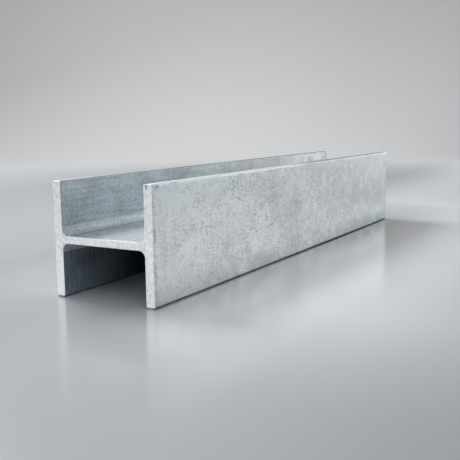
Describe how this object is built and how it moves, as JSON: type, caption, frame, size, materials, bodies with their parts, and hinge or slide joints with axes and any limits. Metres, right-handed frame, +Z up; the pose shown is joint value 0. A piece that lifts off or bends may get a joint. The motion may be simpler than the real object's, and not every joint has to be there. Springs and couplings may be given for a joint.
{
  "type": "steel i-beam",
  "caption": "Cut length of galvanised wide-flange steel beam, with parallel flanges and a filleted web, lying on its flange tips; a structural section for posts, frames and lintels.",
  "frame": {"origin": "under the middle of the beam, on the plane that the flange tips stand on", "axes": "+X along the beam's length, +Y across the section depth from one flange to the other, +Z up the flange width, away from the floor"},
  "size_m": [0.61, 0.106, 0.103],
  "materials": {
    "galvanised_steel": "hot-dip galvanised, matt mottled zinc grey"
  },
  "bodies": {
    "root": {"i_beam": "galvanised_steel"}
  },
  "joints": []
}
